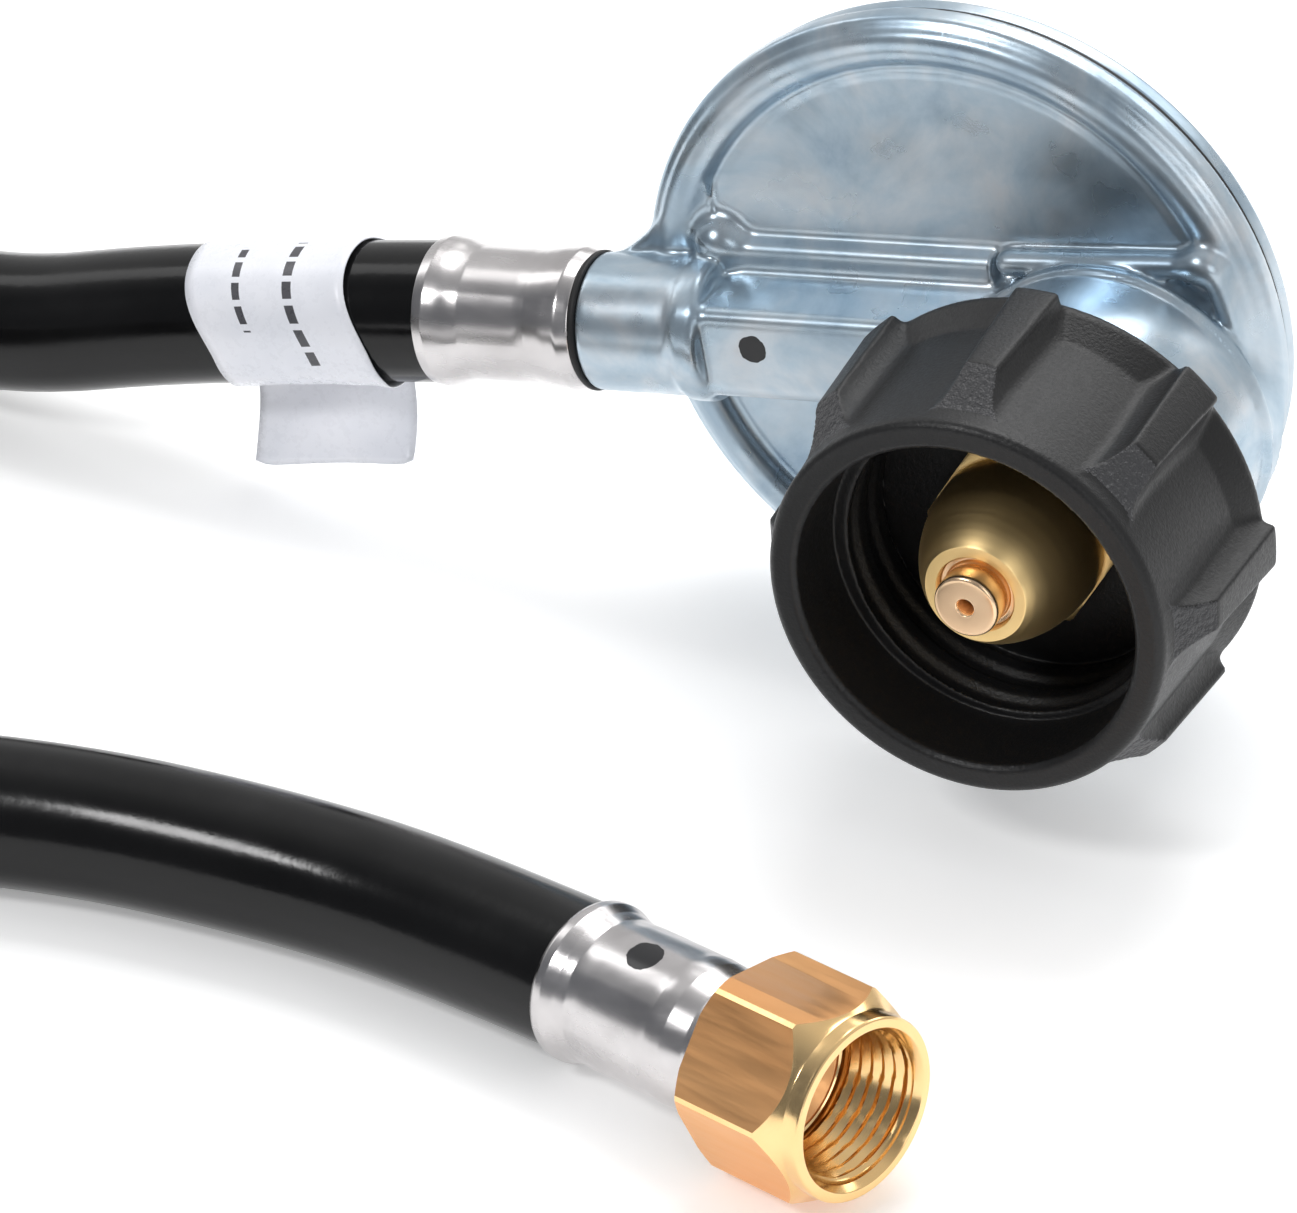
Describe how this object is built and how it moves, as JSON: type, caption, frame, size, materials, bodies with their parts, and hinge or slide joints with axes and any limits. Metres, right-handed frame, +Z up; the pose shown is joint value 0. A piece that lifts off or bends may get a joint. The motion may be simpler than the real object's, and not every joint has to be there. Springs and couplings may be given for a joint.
{
  "type": "propane regulator hose",
  "caption": "Low pressure gas regulator with a lobed inlet handwheel, a rubber hose wound in a tied coil, and a flare swivel nut.",
  "frame": {"origin": "on the floor, in the middle of the box of the regulator, its handwheel and its ferrule; the hose and its far fitting aren't counted", "axes": "+Z up, -Y the way the inlet and handwheel face, -X the way the hose leaves the regulator"},
  "size_m": [0.3211, 0.189, 0.07],
  "materials": {
    "zinc": "zinc plated die casting, satin",
    "black_plastic": "fine moulded texture",
    "steel": "plain",
    "spring_steel": "drawn wire",
    "plated_steel": "bright plated",
    "brass": "turned",
    "rubber": "matt",
    "hose_rubber": "smooth, semi gloss",
    "white_plastic": "plain",
    "tie_fabric": "woven hook and loop tape",
    "paper": "plain white label stock"
  },
  "bodies": {
    "regulator": {"regulator_body": "zinc", "back_cover": "zinc", "closing_cap": "black_plastic", "adjusting_screw": "black_plastic", "vent_screen": "steel", "diaphragm": "rubber", "main_spring": "spring_steel", "lever_pin": "steel", "orifice": "brass", "inlet_nipple": "brass", "nipple_tip": "brass", "excess_flow_spring": "spring_steel", "handwheel_washer": "white_plastic", "outlet_stem": "brass", "outlet_seal_ring": "rubber", "regulator_ferrule": "plated_steel", "flare_stem": "brass", "flare_ferrule": "plated_steel", "hose_lead_regulator": "hose_rubber", "hose_lead_flare": "hose_rubber", "hose_coil": "hose_rubber", "coil_tie": "tie_fabric", "label": "paper"},
    "diaphragm_group": {"diaphragm_front_plate": "steel", "diaphragm_back_plate": "steel", "lever_hook_post": "steel", "relief_spring": "spring_steel", "relief_nut": "steel"},
    "lever_group": {"lever": "steel", "seat_disc": "rubber"},
    "excess_flow": {"excess_flow_plunger": "white_plastic"},
    "handwheel": {"handwheel": "black_plastic"},
    "flare_nut": {"flare_nut": "brass"}
  },
  "joints": [
    {"name": "handwheel_turn", "type": "hinge", "parent": "regulator", "child": "handwheel", "pos_m": [0.02608, 0.0081, 0.03095], "axis": [0, -1, 0], "continuous": true},
    {"name": "flare_nut_turn", "type": "hinge", "parent": "regulator", "child": "flare_nut", "pos_m": [0.02568, -0.0839, 0.0101], "axis": [0.9409, -0.3277, 0.0854], "continuous": true},
    {"name": "diaphragm_travel", "type": "slide", "parent": "regulator", "child": "diaphragm_group", "axis": [0, 1, 0], "range_m": [0, 0.0009], "stiffness_N_per_m": 1000, "springref_m": -0.0067, "deforming": ["main_spring", "diaphragm"]},
    {"name": "lever_tilt", "type": "hinge", "parent": "regulator", "child": "lever_group", "pos_m": [0.01852, 0.0053, 0.03261], "axis": [-0.2139, 0, -0.9769], "range_deg": [0, 5]},
    {"name": "excess_flow_travel", "type": "slide", "parent": "regulator", "child": "excess_flow", "axis": [0, 1, 0], "range_m": [0, 0.0015], "stiffness_N_per_m": 60, "springref_m": -0.002, "deforming": ["excess_flow_spring"]}
  ],
  "couplings": [
    {"joint": "lever_tilt", "follows": "diaphragm_travel", "rad_per_m": 89.286}
  ]
}
